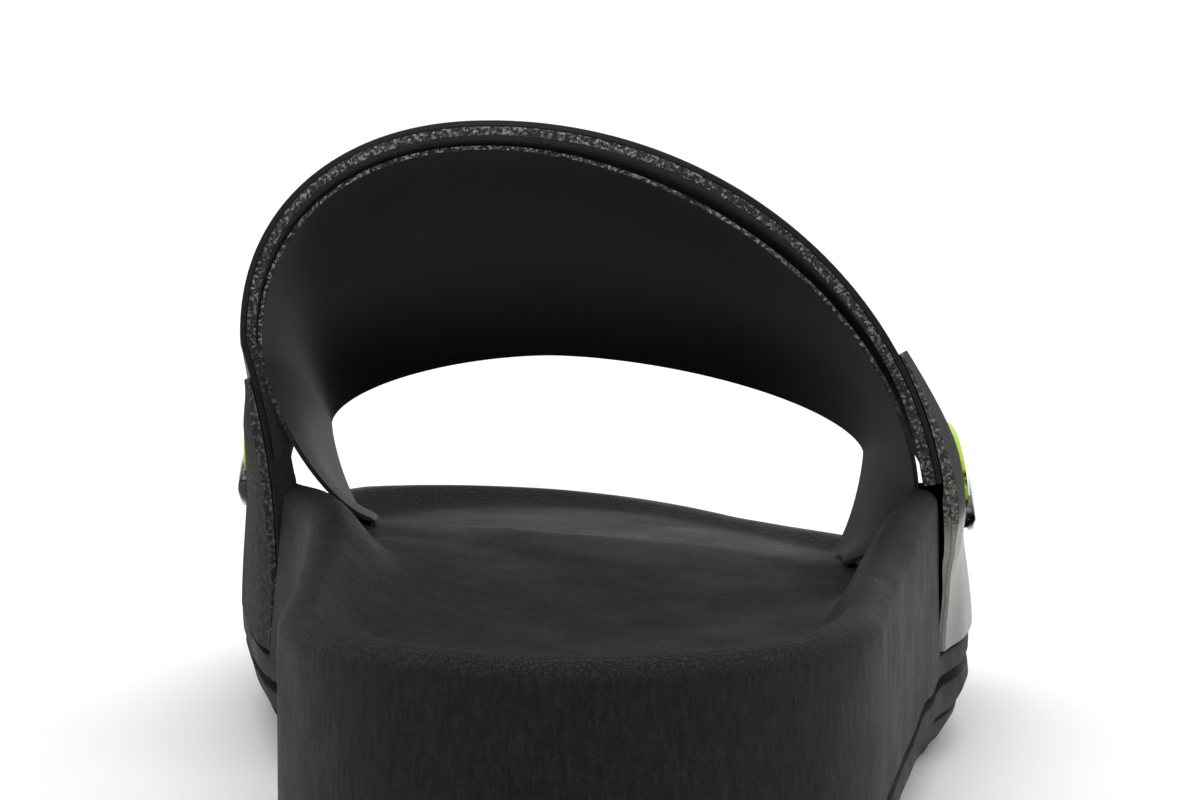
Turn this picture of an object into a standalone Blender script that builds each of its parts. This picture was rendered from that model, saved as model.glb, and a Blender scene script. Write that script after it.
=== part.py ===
"""Sport slide sandal, right shoe, as an assembly of separate closed pieces.

Metres. Y runs from the back of the heel to the toe, X to the outer (lateral) side, Z up from the floor.
The last step moves everything so that the origin is the middle of the footprint at floor level.
"""
from math import pi

import bmesh
import bpy
import numpy as np

for old in list(bpy.data.objects):
    bpy.data.objects.remove(old, do_unlink=True)

# Driving sizes.
LENGTH = 0.285           # heel to toe
BALL_WIDTH = 0.106       # across the ball of the foot
HEEL_HEIGHT = 0.036      # floor to the heel rim
BAND_HEIGHT = 0.016      # height of the grooved band round the sole
CROWN_HEIGHT = 0.088     # top of the strap at its rear edge
CROWN_FRONT = 0.0555     # top of the strap at its front edge
SHELL_THICK = 0.0020     # strap shell
LINING_THICK = 0.0008    # inner lining of the strap
LINING_DROP = 0.0012     # open space between shell and lining at the crown
PANEL_THICK = 0.0012     # side panel over strap and sole wall
BACKING_THICK = 0.0005   # coloured plate under the badge
BADGE_THICK = 0.0010     # raised plain badge
TAB_DEPTH = 0.0050       # lining below the footbed
GROOVE_DEPTH = 0.0022    # tread
GROOVE_WIDTH = 0.0030
GAP = 0.0003             # between neighbours
CUT_CLEAR = 0.005        # how far a cutter reaches past the surface that it opens

HEEL_CAP = 0.150         # share of the length that the rounded heel takes
TOE_START = 0.684        # share of the length where the rounded toe begins
HEEL_POWER, TOE_POWER = 2.0, 2.1   # roundness of both ends
MEDIAL, LATERAL = -1.0, 1.0


def table(columns, *rows):
    """Named columns of a table that is written a row per section."""
    return dict(zip(columns.split(), np.array(rows, dtype=float).T))


# Plan of the sole: y as a share of the length, the rest as shares of the ball width.
OUTLINE = table(
    "y axis medial lateral base",
    (0.000, -0.028, 0.314, 0.316, 0.100),
    (0.133, -0.028, 0.314, 0.318, 0.090),
    (0.246, -0.020, 0.322, 0.345, 0.095),
    (0.351, -0.010, 0.340, 0.377, 0.105),
    (0.439, 0.000, 0.382, 0.411, 0.085),
    (0.495, 0.000, 0.434, 0.435, 0.076),
    (0.544, 0.000, 0.460, 0.463, 0.080),
    (0.596, 0.000, 0.480, 0.484, 0.080),
    (0.667, -0.008, 0.497, 0.498, 0.080),
    (0.719, -0.014, 0.502, 0.505, 0.078),
    (0.828, -0.038, 0.506, 0.493, 0.075),
    (0.902, -0.061, 0.508, 0.468, 0.075),
    (1.000, -0.094, 0.510, 0.440, 0.080),
)

# Heights as shares of the heel height: crest of the wall, then the footbed at its two edges and middle.
RIM = table(
    "y medial lateral bedMedial bedMiddle bedLateral round",
    (0.000, 1.000, 1.000, 0.870, 0.850, 0.870, 0.085),
    (0.050, 1.004, 1.004, 0.850, 0.790, 0.845, 0.085),
    (0.110, 1.010, 1.010, 0.820, 0.736, 0.800, 0.085),
    (0.180, 1.020, 1.013, 0.820, 0.722, 0.780, 0.085),
    (0.280, 1.060, 1.032, 0.875, 0.760, 0.790, 0.085),
    (0.386, 1.105, 1.085, 0.930, 0.833, 0.780, 0.070),
    (0.491, 1.090, 1.085, 0.952, 0.882, 0.765, 0.022),
    (0.579, 0.960, 0.945, 0.850, 0.792, 0.695, 0.022),
    (0.645, 0.830, 0.800, 0.715, 0.670, 0.625, 0.022),
    (0.702, 0.742, 0.700, 0.645, 0.611, 0.565, 0.022),
    (0.807, 0.705, 0.568, 0.597, 0.583, 0.500, 0.050),
    (0.895, 0.716, 0.565, 0.597, 0.585, 0.500, 0.060),
    (1.000, 0.712, 0.600, 0.635, 0.600, 0.550, 0.060),
)

# Underside: lift over the floor as a share of the heel height, and how much of the band's height is left.
UNDER = table(
    "y lift band",
    (0.000, 0.050, 1.00),
    (0.040, 0.000, 1.00),
    (0.320, 0.000, 1.00),
    (0.390, 0.034, 1.00),
    (0.450, 0.000, 1.00),
    (0.700, 0.000, 1.00),
    (0.800, 0.045, 0.92),
    (0.900, 0.130, 0.80),
    (1.000, 0.250, 0.66),
)

# Side of the sole, bottom to top: height and outward step, both as shares of the band height.
OUTSOLE_SIDE = table(
    "level medial lateral",
    (0.000, -0.480, -0.350),
    (0.070, -0.400, -0.300),
    (0.150, -0.330, -0.210),
    (0.306, -0.240, -0.110),
    (0.388, -0.150, -0.100),
)
MIDSOLE_SIDE = table(
    "level medial lateral",
    (0.425, -0.170, -0.075),
    (0.581, -0.060, 0.000),
    (0.700, -0.030, -0.013),
    (0.725, -0.110, -0.100),
    (0.775, -0.105, -0.100),
    (0.806, -0.010, -0.006),
    (0.981, 0.000, 0.000),
)

# Sections of the strap at its rear and front edge. Shares of the ball width across and of that edge's
# crown height up: crown position, widest half and its height on each side, and roundness.
SHELL = table(
    "crown medial medialHigh medialRound lateral lateralHigh lateralRound",
    (-0.142, 0.311, 0.670, 2.2, 0.569, 0.341, 2.0),
    (-0.075, 0.407, 0.595, 2.3, 0.560, 0.505, 2.2),
)
LINING = table(
    "crown medial medialHigh medialRound lateral lateralHigh lateralRound",
    (-0.142, 0.281, 0.655, 2.2, 0.514, 0.430, 1.9),
    (-0.080, 0.316, 0.745, 2.3, 0.450, 0.665, 1.9),
)
# Grooves across the sole and the stretches of the two lengthwise pairs, shares of the length.
GROOVES_ACROSS = (0.07, 0.14, 0.21, 0.28, 0.47, 0.53, 0.59, 0.65, 0.77, 0.83, 0.89)
GROOVES_ALONG = ((0.035, 0.31), (0.46, 0.69))
ALONG_OUT = 0.15         # lengthwise grooves from the middle, share of the ball width
ALONG_DEPTH = 0.9        # their depth, share of the tread's

# Where the lining enters the footbed, shares of the ball width, rear and front.
SLOT = table(
    "medial lateral",
    (-0.296, 0.304),
    (-0.318, 0.321),
)
# Edges of the strap along the foot: shares of the length at the crown, and how far lower points lie forward.
EDGE = table(
    "crown sweep",
    (0.439, 0.056),
    (0.719, 0.035),
)
SWEEP_POWER = 1.5
CROWN_BOW = 0.0015       # rise of the strap's top line over a straight line between its edges
WALL_SOFT = 0.0006       # roundness of the line where wall and strap part
SIDE_RECESS = 0.013      # share of the ball width by which the wall stands in under the panels
RECESS_IN = (0.36, 0.465)                # stretches of the length over which that begins and ends
RECESS_OUT = (0.765, 0.83)
SEAT_IN = 0.22           # share of the band height by which the midsole's lowest ring stands in
CREST_IN = 0.033         # width of the wall's flat top, share of the ball width
CREST_TURN = 1.6         # how fast the top's height turns from the medial to the lateral column
# Height of a panel's top edge as strap shares: rear end, then front end.
PANEL_TOP = table("medial lateral", (0.79, 1.29), (1.25, 1.36))
BADGE_BACK, BADGE_FRONT = 0.42, 0.90     # along the strap, rear edge 0, front edge 1
BADGE_LOW, BADGE_HIGH = 0.32, 0.61       # shares of the strap's height over the band at its front edge
BADGE_ENDS = 0.25        # height of the badge's rounded ends, share of its middle height
PLATE_GROW = 0.06        # plate and pocket beyond the badge, in the same shares
POCKET_GROW = 0.085
GROW_UP = 2.2            # how much more they grow upwards
LEG_POWER = 1.6                          # how the strap's sides lean out from the band to their widest point
LINING_SIDE_ROUND = 1.5                  # roundness of the lining's lower arcs
FOOT_OVER = 0.25         # the shell's foot over the wall's crest, share of the shell's thickness
SHARP, SHARP_LINING = 0.6, 1.0           # radians over which an edge is drawn sharp


def curve(tab, column, at):
    """Monotone cubic through the rows of a table: slopes are harmonic means of the two neighbours."""
    x, v = tab["y"], tab[column]
    rise = np.diff(v) / np.diff(x)
    slope = np.zeros_like(v)
    same = rise[:-1] * rise[1:] > 0
    slope[1:-1][same] = 2 * rise[:-1][same] * rise[1:][same] / (rise[:-1] + rise[1:])[same]
    slope[0], slope[-1] = rise[0], rise[-1]
    at = np.clip(at, x[0], x[-1])
    k = np.clip(np.searchsorted(x, at) - 1, 0, len(x) - 2)
    h = x[k + 1] - x[k]
    t = (at - x[k]) / h
    return ((1 + 2 * t) * (1 - t) ** 2 * v[k] + t * (1 - t) ** 2 * h * slope[k]
            + t * t * (3 - 2 * t) * v[k + 1] - t * t * (1 - t) * h * slope[k + 1])


def ramp(at, low, high):
    """0 below low, 1 above high, and 3t2 - 2t3 between."""
    t = np.clip((at - low) / (high - low), 0, 1)
    return t * t * (3 - 2 * t)


def blend(tab, column, v):
    """Straight line from a two-row table's first value to its second."""
    return tab[column][0] * (1 - v) + tab[column][1] * v


def cap(y):
    """How much of the half width is left at y: a rounded end at heel and toe."""
    heel = np.clip(1 - y / (HEEL_CAP * LENGTH), 0, 1)
    toe = np.clip((y / LENGTH - TOE_START) / (1 - TOE_START), 0, 1)
    return (1 - heel ** HEEL_POWER) ** (1 / HEEL_POWER) * (1 - toe ** TOE_POWER) ** (1 / TOE_POWER)


def axis(y):
    return BALL_WIDTH * curve(OUTLINE, "axis", y / LENGTH)


def half(y, side):
    """Half width on one side, before the rounded ends."""
    column = np.where(side < 0, curve(OUTLINE, "medial", y / LENGTH), curve(OUTLINE, "lateral", y / LENGTH))
    return BALL_WIDTH * column


def outlineX(y, side):
    return axis(y) + side * half(y, side) * cap(y)


def lift(y):
    return HEEL_HEIGHT * curve(UNDER, "lift", y / LENGTH)


def bandLevel(y, share):
    return lift(y) + BAND_HEIGHT * curve(UNDER, "band", y / LENGTH) * share


def sideMix(tab, y, across):
    """Value between a table's medial and lateral columns, across being -1 to 1."""
    w = (np.clip(across, -1, 1) + 1) / 2
    return curve(tab, "medial", y / LENGTH) * (1 - w) + curve(tab, "lateral", y / LENGTH) * w


def crest(y, x):
    """Height of the wall's top, worked out from how far across the point lies."""
    outwards = (x - axis(y)) / half(y, x - axis(y))
    return HEEL_HEIGHT * sideMix(RIM, y, outwards * CREST_TURN)


def footbed(x, y):
    """Footbed height: a parabola across, through the heights of both edges and the middle."""
    side = np.where(x < axis(y), MEDIAL, LATERAL)
    reach = half(y, side) - BALL_WIDTH * curve(OUTLINE, "base", y / LENGTH)
    q = np.clip((x - axis(y)) / reach, -1.15, 1.15)
    low, mid, high = (curve(RIM, c, y / LENGTH) for c in ("bedMedial", "bedMiddle", "bedLateral"))
    return HEEL_HEIGHT * (mid + (high - low) / 2 * q + ((high + low) / 2 - mid) * q * q)


def edgeY(z, v):
    """Place along the foot of a strap point: between the rear and the front edge, lower points forward."""
    high = crown(np.clip(v, 0, 1))
    low = np.clip(1 - (z - BAND_HEIGHT) / (high - BAND_HEIGHT), 0, 1.1)
    return LENGTH * (blend(EDGE, "crown", v) + blend(EDGE, "sweep", v) * low ** SWEEP_POWER)


def crown(v):
    """Height of the strap's top line, rear edge 0 to front edge 1."""
    return CROWN_HEIGHT * (1 - v) + CROWN_FRONT * v + CROWN_BOW * 4 * v * (1 - v)


def sideName(side):
    return "medial" if side < 0 else "lateral"


def sectionArc(tab, drop, side, s, v):
    """Quarter of a superellipse from the strap's widest point (s 1) to its crown (s 2)."""
    name = sideName(side)
    top = crown(v)
    zc = top * blend(tab, name + "High", v)
    n = blend(tab, name + "Round", v)
    t = np.clip(s - 1, 0, 1) * pi / 2
    x = BALL_WIDTH * (blend(tab, "crown", v) + side * blend(tab, name, v) * np.cos(t) ** (2 / n))
    z = zc + (top - drop - zc) * np.sin(t) ** (2 / n)
    return x, z, zc


def shellFace(side, s, v):
    """Outer face of the strap: from the band (s 0) bowing out to the widest point (s 1), then the arc."""
    x, z, zc = sectionArc(SHELL, 0.0, side, s, v)
    leg = np.clip(s, -0.2, 1)
    zLeg = BAND_HEIGHT + (zc - BAND_HEIGHT) * leg
    y = edgeY(np.where(s < 1, zLeg, z), v)
    foot = outlineX(y, side) - side * BALL_WIDTH * SIDE_RECESS
    xLeg = foot + (x - foot) * np.sign(leg) * np.abs(leg) ** LEG_POWER
    return np.stack((np.where(s < 1, xLeg, x), y, np.where(s < 1, zLeg, z)), -1)


def shareAtHeight(side, z, v):
    """The s at which the strap's outer face has height z."""
    name = sideName(side)
    top = crown(v)
    zc = top * blend(SHELL, name + "High", v)
    n = blend(SHELL, name + "Round", v)
    above = np.clip((z - zc) / (top - zc), 0, 1)
    return np.where(z < zc, (z - BAND_HEIGHT) / (zc - BAND_HEIGHT), 1 + np.arcsin(above ** (n / 2)) * 2 / pi)


def wallX(y, z, side):
    """Outer face of the sole's wall over the band: the outline, drawn in to the strap's face at the strap."""
    rear, front = edgeY(z, 0.0), edgeY(z, 1.0)
    v = np.clip((y - rear) / (front - rear), 0, 1)
    under = np.where(side < 0, shellFace(MEDIAL, shareAtHeight(MEDIAL, z, v), v)[..., 0],
                     shellFace(LATERAL, shareAtHeight(LATERAL, z, v), v)[..., 0])
    # The strap's face shifts with y beside the strap as the outline does.
    beside = outlineX(y, side) - outlineX(rear * (1 - v) + front * v, side)
    mix = ramp(y / LENGTH, *RECESS_IN) * (1 - ramp(y / LENGTH, *RECESS_OUT))
    plain = outlineX(y, side)
    # Where the strap leans out past the outline, the wall stays at the outline: a soft lesser of the two.
    more = side * (under + beside - plain) - GAP / 2
    return plain + side * mix * (more - np.sqrt(more * more + WALL_SOFT ** 2)) / 2


def stations(heel, middle, toe):
    """Places along the foot, closer together round the heel and the toe."""
    back = HEEL_CAP * (1 - np.cos(np.linspace(0, pi / 2, heel + 1)))
    front = TOE_START + (1 - TOE_START) * np.sin(np.linspace(0, pi / 2, toe + 1))
    return LENGTH * np.concatenate((back, np.linspace(HEEL_CAP, TOE_START, middle + 1)[1:], front[1:]))


class Outline:
    """The sole's outline as one loop: heel tip, medial side, toe tip, lateral side back to the heel."""

    def __init__(self, heel, middle, toe):
        y = stations(heel, middle, toe)
        self.count = len(y) - 1
        self.y = np.concatenate((y, y[-2:0:-1]))
        self.side = np.concatenate((np.full(self.count + 1, MEDIAL), np.full(self.count - 1, LATERAL)))
        self.x = outlineX(self.y, self.side)
        self.normal = self.normals(self.x)

    def normals(self, x):
        along = np.stack((np.roll(x, -1) - np.roll(x, 1), np.roll(self.y, -1) - np.roll(self.y, 1)), -1)
        along /= np.linalg.norm(along, axis=1, keepdims=True)
        return np.stack((-along[:, 1], along[:, 0]), -1)

    def ring(self, out, z):
        """The loop moved out along its normals, at height z."""
        plan = np.stack((self.x, self.y), -1) + self.normal * np.broadcast_to(out, self.x.shape)[:, None]
        return np.column_stack((plan, np.broadcast_to(z, self.x.shape)))

    def wallRing(self, out, z):
        """As ring, but measured from the wall's outer face in place of the outline."""
        x = wallX(self.y, z, self.side)
        plan = np.stack((x, self.y), -1) + self.normals(x) * np.broadcast_to(out, self.x.shape)[:, None]
        return np.column_stack((plan, np.broadcast_to(z, self.x.shape)))


def finish(name, verts, faces, sharp, material):
    """Object from vertices and faces, facing out, smooth but for edges over an angle."""
    mesh = bpy.data.meshes.new(name)
    mesh.from_pydata([tuple(p) for p in verts], [], faces)
    bm = bmesh.new()
    bm.from_mesh(mesh)
    bmesh.ops.recalc_face_normals(bm, faces=bm.faces)
    bm.to_mesh(mesh)
    bm.free()
    mesh.shade_smooth()
    mesh.set_sharp_from_angle(angle=sharp)
    ob = bpy.data.objects.new(name, mesh)
    bpy.context.collection.objects.link(ob)
    if material:
        ob.data.materials.append(material)
    return ob


def sideRings(loop, tab):
    """Rings of the sole's side; round heel and toe the step passes from the medial to the lateral column."""
    w = ((loop.x - axis(loop.y)) / half(loop.y, loop.side) + 1) / 2
    return [loop.ring(BAND_HEIGHT * (medial * (1 - w) + lateral * w), bandLevel(loop.y, level))
            for level, medial, lateral in zip(*tab.values())]


def stacked(name, loop, rings, columns, top, material):
    """Closed body from rings bottom to top: the bottom is a strip of quads, the top a grid of columns."""
    n = len(loop.x)
    verts = [p for ring in rings for p in ring]
    faces = []
    for r in range(len(rings) - 1):
        low, high = r * n, (r + 1) * n
        faces += [(low + i, low + (i + 1) % n, high + (i + 1) % n, high + i) for i in range(n)]
    faces += across(0, loop, 1, None, verts, None)
    faces += across((len(rings) - 1) * n, loop, columns, rings[-1], verts, top)
    return finish(name, verts, faces, SHARP, material)


def across(start, loop, columns, ring, verts, height):
    """Faces that fill a ring from its medial to its lateral side, with new points between if columns > 1."""
    n, count = len(loop.x), loop.count
    rows = []
    for i in range(1, count):
        a, b = start + i, start + n - i
        row = [a]
        for c in range(1, columns):
            w = c / columns
            p = ring[i] * (1 - w) + ring[n - i] * w
            row.append(len(verts))
            verts.append(np.array((p[0], p[1], height(p[0], p[1]))))
        rows.append(row + [b])
    faces = []
    for one, two in zip(rows, rows[1:]):
        faces += [(one[c], one[c + 1], two[c + 1], two[c]) for c in range(columns)]
    faces += [(start, rows[0][c], rows[0][c + 1]) for c in range(columns)]
    faces += [(start + count, rows[-1][c + 1], rows[-1][c]) for c in range(columns)]
    return faces


def faceNormals(face):
    """Unit normals of a grid of points, from its differences along and across."""
    n = np.cross(np.gradient(face, axis=0), np.gradient(face, axis=1))
    return n / np.linalg.norm(n, axis=2, keepdims=True)


def slab(name, face, normal, inner, outer, material, sharp=SHARP):
    """Closed body between a grid moved by inner and by outer along its normals."""
    rows, cols = face.shape[:2]
    verts = np.concatenate(((face + normal * outer).reshape(-1, 3), (face + normal * inner).reshape(-1, 3)))
    back = rows * cols
    quads = [(i * cols + j, i * cols + j + 1, (i + 1) * cols + j + 1, (i + 1) * cols + j)
             for i in range(rows - 1) for j in range(cols - 1)]
    faces = quads + [tuple(back + k for k in reversed(q)) for q in quads]
    edge = ([(0, j) for j in range(cols)] + [(i, cols - 1) for i in range(1, rows)]
            + [(rows - 1, j) for j in range(cols - 2, -1, -1)] + [(i, 0) for i in range(rows - 2, 0, -1)])
    ids = [i * cols + j for i, j in edge]
    faces += [(a, back + a, back + b, b) for a, b in zip(ids, ids[1:] + ids[:1])]
    return finish(name, verts, faces, sharp, material)


def bothSides(rowsMedial, rowsLateral):
    """One grid over the strap: medial side upwards, then lateral side downwards, crown shared."""
    return np.concatenate((rowsMedial, rowsLateral[::-1][1:]))


def cutBy(ob, cutters):
    for cutter in cutters:
        cutter.hide_render = True
        cutter.display_type = "WIRE"
        mod = ob.modifiers.new(cutter.name, "BOOLEAN")
        mod.object = cutter
        mod.operation = "DIFFERENCE"
        mod.solver = "EXACT"


def material(name, colour, rough):
    mat = bpy.data.materials.new(name)
    mat.use_nodes = True
    shader = mat.node_tree.nodes["Principled BSDF"]
    shader.inputs["Base Color"].default_value = (*colour, 1.0)
    shader.inputs["Roughness"].default_value = rough
    return mat


def box(name, x0, x1, y0, y1, z0, z1):
    verts = [(x, y, z) for x in (x0, x1) for y in (y0, y1) for z in (z0, z1)]
    faces = [(0, 1, 3, 2), (4, 6, 7, 5), (0, 4, 5, 1), (2, 3, 7, 6), (0, 2, 6, 4), (1, 5, 7, 3)]
    return finish(name, verts, faces, SHARP, None)


def treadCutters():
    """Grooves across the sole, and two along its flat heel and its flat forefoot."""
    cutters = []
    for k, y in enumerate(LENGTH * np.array(GROOVES_ACROSS)):
        top = float(lift(y)) + GROOVE_DEPTH
        cutters.append(box(f"cut_across_{k}", -BALL_WIDTH, BALL_WIDTH, y, y + GROOVE_WIDTH, -CUT_CLEAR, top))
    for k, (y0, y1) in enumerate(GROOVES_ALONG):
        for side in (MEDIAL, LATERAL):
            x = side * BALL_WIDTH * ALONG_OUT
            cutters.append(box(f"cut_along_{k}_{sideName(side)}", x - GROOVE_WIDTH / 2, x + GROOVE_WIDTH / 2,
                               y0 * LENGTH, y1 * LENGTH, -CUT_CLEAR, GROOVE_DEPTH * ALONG_DEPTH))
    return cutters


def slotX(v, side):
    return BALL_WIDTH * blend(SLOT, sideName(side), v)


def liningFoot(v, side):
    """Where the lining meets the footbed: the point (x, y, z) on its outer face."""
    x = slotX(v, side)
    z = np.full_like(v, HEEL_HEIGHT * 0.8)
    for _ in range(6):
        y = edgeY(z, v)
        z = footbed(x, y)
    return np.stack((x, y, z), -1)


def liningSide(side, v, low, high):
    """One side of the lining: a straight tab in the slot, an arc out to its widest point, an arc to the crown."""
    foot = liningFoot(v, side)
    tab = [foot - np.array((0, 0, TAB_DEPTH)), foot - np.array((0, 0, TAB_DEPTH * 0.4))]
    foot = foot + np.array((0, 0, GAP * 2))
    xc, zc, _ = sectionArc(LINING, SHELL_THICK + LINING_DROP, side, np.ones_like(v), v)
    arc = []
    for t in np.linspace(0, pi / 2, low + 1)[:-1]:
        x = foot[:, 0] + (xc - foot[:, 0]) * np.sin(t) ** (2 / LINING_SIDE_ROUND)
        z = zc - (zc - foot[:, 2]) * np.cos(t) ** (2 / LINING_SIDE_ROUND)
        arc.append(np.stack((x, edgeY(z, v), z), -1))
    for s in np.linspace(1, 2, high + 1):
        x, z, _ = sectionArc(LINING, SHELL_THICK + LINING_DROP, side, np.full_like(v, s), v)
        arc.append(np.stack((x, edgeY(z, v), z), -1))
    return np.array(tab + arc)


def shellSide(side, v, rows):
    """One side of the strap's outer face, from just over the wall's crest to the crown."""
    z = np.full_like(v, HEEL_HEIGHT)
    for _ in range(8):
        y = edgeY(z, v)
        z = crest(y, outlineX(y, side)) + GAP + SHELL_THICK * FOOT_OVER
    low = shareAtHeight(side, z, v)
    return np.array([shellFace(side, low + (2 - low) * w, v) for w in np.linspace(0, 1, rows + 1)])


def panelFace(side, v, rows):
    """The strap's outer face from just over the band up to the panel's top."""
    z = np.full_like(v, BAND_HEIGHT)
    for _ in range(4):
        z = bandLevel(edgeY(z, v), 1.0) + GAP * 1.5
    low = shareAtHeight(side, z, v)
    high = blend(PANEL_TOP, sideName(side), v)
    return np.array([shellFace(side, low + (high - low) * w, v) for w in np.linspace(0, 1, rows + 1)])


def patch(side, grow):
    """Lozenge of the strap's face for badge and backing, larger by grow; its ends are rounded."""
    a = np.linspace(0, 1, 11)
    v0, v1 = BADGE_BACK - grow, BADGE_FRONT + grow
    v = v0 + (v1 - v0) * (1 - np.cos(a * pi)) / 2
    bulge = BADGE_ENDS + (1 - BADGE_ENDS) * np.sqrt(np.clip(np.sin(a * pi), 0, 1))
    zMid = BAND_HEIGHT + (CROWN_FRONT - BAND_HEIGHT) * (BADGE_LOW + BADGE_HIGH) / 2
    tall = (CROWN_FRONT - BAND_HEIGHT) * (BADGE_HIGH - BADGE_LOW) / 2 * (1 + grow * GROW_UP)
    rows = []
    for w in np.linspace(-1, 1, 7):
        z = zMid + tall * w * bulge
        rows.append(shellFace(side, shareAtHeight(side, z, v), v))
    return np.array(rows)


def outward(face, side):
    """Grid normals that point away from the foot."""
    n = faceNormals(face)
    middle = n[n.shape[0] // 2, n.shape[1] // 2]
    return n if middle[0] * side > 0 else -n


black = material("moulded_black", (0.012, 0.012, 0.013), 0.6)
rubber = material("rubber_black", (0.016, 0.016, 0.017), 0.55)
skin = material("strap_skin_black", (0.014, 0.014, 0.016), 0.5)
satin = material("lining_black", (0.010, 0.010, 0.012), 0.45)
panelSkin = material("panel_black", (0.020, 0.020, 0.022), 0.4)
gloss = material("badge_gloss_black", (0.008, 0.008, 0.009), 0.2)
lime = material("backing_lime", (0.45, 0.72, 0.05), 0.5)

loop = Outline(7, 19, 12)

rings = sideRings(loop, OUTSOLE_SIDE)
outsole = stacked("outsole", loop, rings, 1, None, rubber)
cutBy(outsole, treadCutters())

seat = bandLevel(loop.y, OUTSOLE_SIDE["level"][-1]) + GAP
rings = [loop.ring(-BAND_HEIGHT * SEAT_IN, seat)] + sideRings(loop, MIDSOLE_SIDE)
ledge = bandLevel(loop.y, 1.0)
top = crest(loop.y, loop.x)
fillet = HEEL_HEIGHT * curve(RIM, "round", loop.y / LENGTH)
rings += [loop.wallRing(0.0, ledge + (top - fillet - ledge) * w) for w in (0.0, 0.5, 1.0)]
rings.append(loop.wallRing(-fillet * 0.3, top - fillet * 0.3))
rings.append(loop.wallRing(-fillet, top))
crestIn = BALL_WIDTH * CREST_IN
base = BALL_WIDTH * curve(OUTLINE, "base", loop.y / LENGTH)
inner = loop.ring(-base, top)
bed = footbed(inner[:, 0], inner[:, 1])
for w in (0.0, 0.3, 0.65, 1.0):
    inset = crestIn + (base - crestIn) * w
    rings.append(loop.ring(-inset, top + (bed - top) * w * w * (3 - 2 * w)))
midsole = stacked("midsole", loop, rings, 10, footbed, black)
slots = []
for side in (MEDIAL, LATERAL):
    v = np.linspace(-0.02, 1.02, 12)
    foot = liningFoot(v, side)
    wall = np.array([foot - np.array((0, 0, TAB_DEPTH + GAP)), foot + np.array((0, 0, CUT_CLEAR))])
    sideways = np.broadcast_to(np.array((side, 0.0, 0.0)), wall.shape)
    slots.append(slab(f"cut_slot_{sideName(side)}", wall, sideways, -LINING_THICK - GAP, GAP, None))
cutBy(midsole, slots)

v = np.linspace(0, 1, 9)
face = bothSides(shellSide(MEDIAL, v, 20), shellSide(LATERAL, v, 20))
normal = faceNormals(face)
normal *= np.sign(normal[20, 4, 2])
upper = slab("upper", face, normal, -SHELL_THICK, 0.0, skin)

face = bothSides(liningSide(MEDIAL, v, 6, 10), liningSide(LATERAL, v, 6, 10))
normal = faceNormals(face)
normal *= np.sign(normal[18, 4, 2])
lining = slab("strap_lining", face, normal, -LINING_THICK, 0.0, satin, SHARP_LINING)

for side in (MEDIAL, LATERAL):
    name = sideName(side)
    face = panelFace(side, v, 14)
    panel = slab(f"side_panel_{name}", face, outward(face, side), GAP, GAP + PANEL_THICK, panelSkin)
    plate = patch(side, PLATE_GROW)
    floor = GAP + PANEL_THICK - BACKING_THICK
    normal = outward(plate, side)
    slab(f"badge_backing_{name}", plate, normal, floor + GAP, floor + GAP + BACKING_THICK, lime)
    pocket = patch(side, POCKET_GROW)
    cutBy(panel, [slab(f"cut_pocket_{name}", pocket, outward(pocket, side), floor, CUT_CLEAR, None)])
    small = patch(side, 0.0)
    start = floor + BACKING_THICK + GAP * 2
    slab(f"badge_{name}", small, outward(small, side), start, start + BADGE_THICK, gloss)

points = np.concatenate([np.array([v.co for v in ob.data.vertices])
                         for ob in bpy.data.objects if not ob.hide_render])
low, high = points.min(0), points.max(0)
shift = np.array(((low[0] + high[0]) / 2, (low[1] + high[1]) / 2, low[2]))
for ob in bpy.data.objects:
    co = np.array([v.co for v in ob.data.vertices]) - shift
    ob.data.vertices.foreach_set("co", co.ravel())
    ob.data.update()
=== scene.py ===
from math import atan2, pi, radians

import bmesh
import bpy
import numpy as np
from mathutils import Euler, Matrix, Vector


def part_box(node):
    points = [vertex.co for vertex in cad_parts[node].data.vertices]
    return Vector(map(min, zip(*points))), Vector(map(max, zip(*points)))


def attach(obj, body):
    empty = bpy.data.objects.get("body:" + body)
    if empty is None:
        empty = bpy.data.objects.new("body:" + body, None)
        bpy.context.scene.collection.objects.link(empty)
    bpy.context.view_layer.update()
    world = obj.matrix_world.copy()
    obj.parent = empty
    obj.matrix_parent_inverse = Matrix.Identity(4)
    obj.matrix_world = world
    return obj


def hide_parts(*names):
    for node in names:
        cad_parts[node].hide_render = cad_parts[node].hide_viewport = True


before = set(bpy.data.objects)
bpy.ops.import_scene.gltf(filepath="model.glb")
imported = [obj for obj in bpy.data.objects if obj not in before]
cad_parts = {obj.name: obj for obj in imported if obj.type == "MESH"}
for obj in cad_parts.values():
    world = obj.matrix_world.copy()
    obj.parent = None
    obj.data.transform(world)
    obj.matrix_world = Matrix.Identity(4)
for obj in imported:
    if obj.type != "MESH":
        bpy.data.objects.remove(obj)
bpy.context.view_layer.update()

# Lengths are metres. In the shape functions y runs from the back of the heel, and place() moves to the frame.
medial, lateral = -1.0, 1.0

shoe = {
    "length": 0.285,
    "ballWidth": 0.106,
    "heelHeight": 0.036,
    "bandHeight": 0.016,
    "crownRear": 0.088,      # top of the strap at its rear edge
    "crownFront": 0.0555,    # and at its front edge
    "crownBow": 0.0015,      # rise of the top line between them
    "heelCap": 0.150,        # shares of the length where the rounded heel ends and the rounded toe begins
    "toeStart": 0.684,
    "heelPower": 2.0,
    "toePower": 2.1,
    "gap": 0.0003,           # between neighbouring solids
    "crestTurn": 1.6,        # how soon the crest passes from its medial to its lateral height
    "bedBeyond": 1.15,       # the footbed's parabola is held from this share of its reach on
}


def table(columns, *rows):
    # named columns from rows of numbers
    return dict(zip(columns.split(), np.array(rows, dtype=float).T))


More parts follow.
